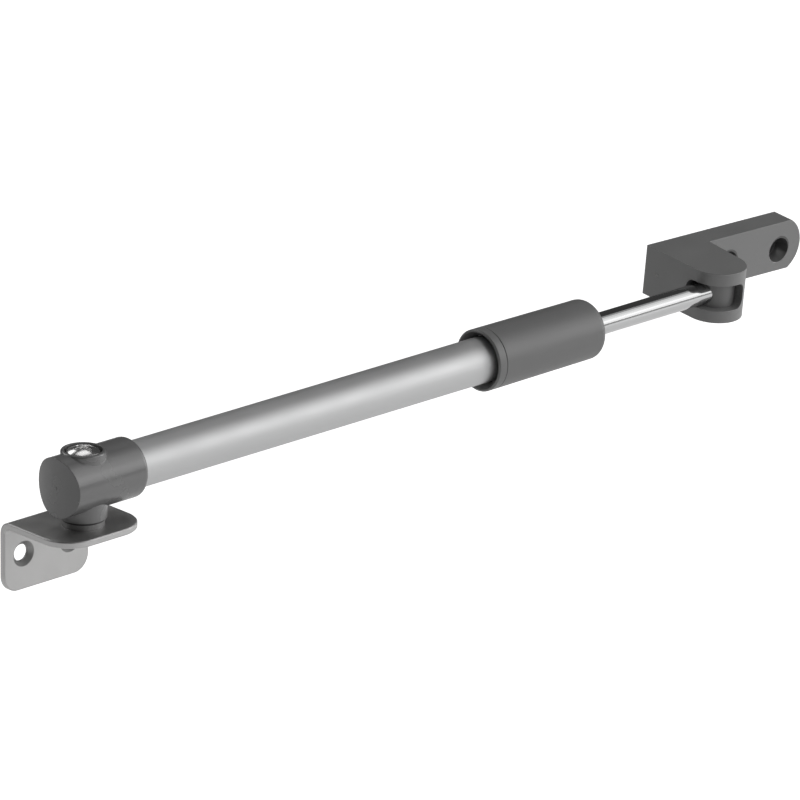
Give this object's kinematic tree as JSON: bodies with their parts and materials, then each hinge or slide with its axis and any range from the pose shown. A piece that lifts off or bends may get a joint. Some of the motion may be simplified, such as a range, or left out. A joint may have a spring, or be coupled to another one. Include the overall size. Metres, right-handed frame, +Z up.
{
  "type": "telescopic window stay",
  "caption": "Telescopic window stay: a chromed rod slides in an aluminium tube with a twist-grip lock, between a pivoting steel frame bracket and a moulded sash bracket.",
  "frame": {"origin": "midway between the frame bracket's two screw holes, on the bracket's back face", "axes": "+X along the stay from the frame pivot towards the sash bracket, +Y into the window frame that the bracket is screwed to, +Z up along the frame pivot"},
  "size_m": [0.3707, 0.0395, 0.0525],
  "materials": {
    "zinc_steel": "satin zinc-plated steel",
    "chrome": "polished chrome plate",
    "anodised_tube": "satin anodised aluminium",
    "grey_plastic": "fine-textured dark grey moulded polyamide",
    "nylon": "natural nylon",
    "black_rubber": "matt black rubber",
    "brass": "turned brass"
  },
  "bodies": {
    "frame_bracket": {"window_bracket": "zinc_steel", "pivot_post": "zinc_steel", "pivot_washer": "grey_plastic", "spring_washer": "zinc_steel", "pivot_screw": "chrome"},
    "tube_unit": {"end_cap": "grey_plastic", "outer_tube": "anodised_tube", "lock_nose": "grey_plastic", "nose_pins": "zinc_steel", "stop_collar": "anodised_tube", "collet": "brass"},
    "twist_grip": {"grip_sleeve": "grey_plastic", "grip_ring": "grey_plastic"},
    "cone": {"clamp_cone": "nylon"},
    "piston_unit": {"guide_piston": "nylon", "stop_buffer": "black_rubber"},
    "rod_unit": {"rod": "chrome", "piston_washer": "zinc_steel", "piston_screw": "zinc_steel", "barrel": "grey_plastic", "barrel_pin": "zinc_steel"},
    "sash_unit": {"sash_bracket": "grey_plastic", "barrel_keeper": "grey_plastic"}
  },
  "joints": [
    {"name": "tube_swing", "type": "hinge", "parent": "frame_bracket", "child": "tube_unit", "pos_m": [0, -0.0203, 0.0282], "axis": [0, 0, 1], "range_deg": [-180, 0]},
    {"name": "grip_turn", "type": "hinge", "parent": "tube_unit", "child": "twist_grip", "pos_m": [0, -0.0203, 0.0282], "axis": [1, 0, 0], "range_deg": [-180, 0]},
    {"name": "cone_travel", "type": "slide", "parent": "tube_unit", "child": "cone", "axis": [1, 0, 0], "range_m": [0, 0.001]},
    {"name": "rod_slide", "type": "slide", "parent": "tube_unit", "child": "piston_unit", "axis": [1, 0, 0], "range_m": [-0.05, 0.1]},
    {"name": "rod_turn", "type": "hinge", "parent": "piston_unit", "child": "rod_unit", "pos_m": [0, -0.0203, 0.0282], "axis": [1, 0, 0], "continuous": true},
    {"name": "sash_swing", "type": "hinge", "parent": "rod_unit", "child": "sash_unit", "pos_m": [0.2944, -0.0203, 0.0282], "axis": [0, -0.0906, 0.9959], "range_deg": [-87.5, 2.5]}
  ],
  "couplings": [
    {"joint": "cone_travel", "follows": "grip_turn", "m_per_rad": -0.00031831}
  ]
}
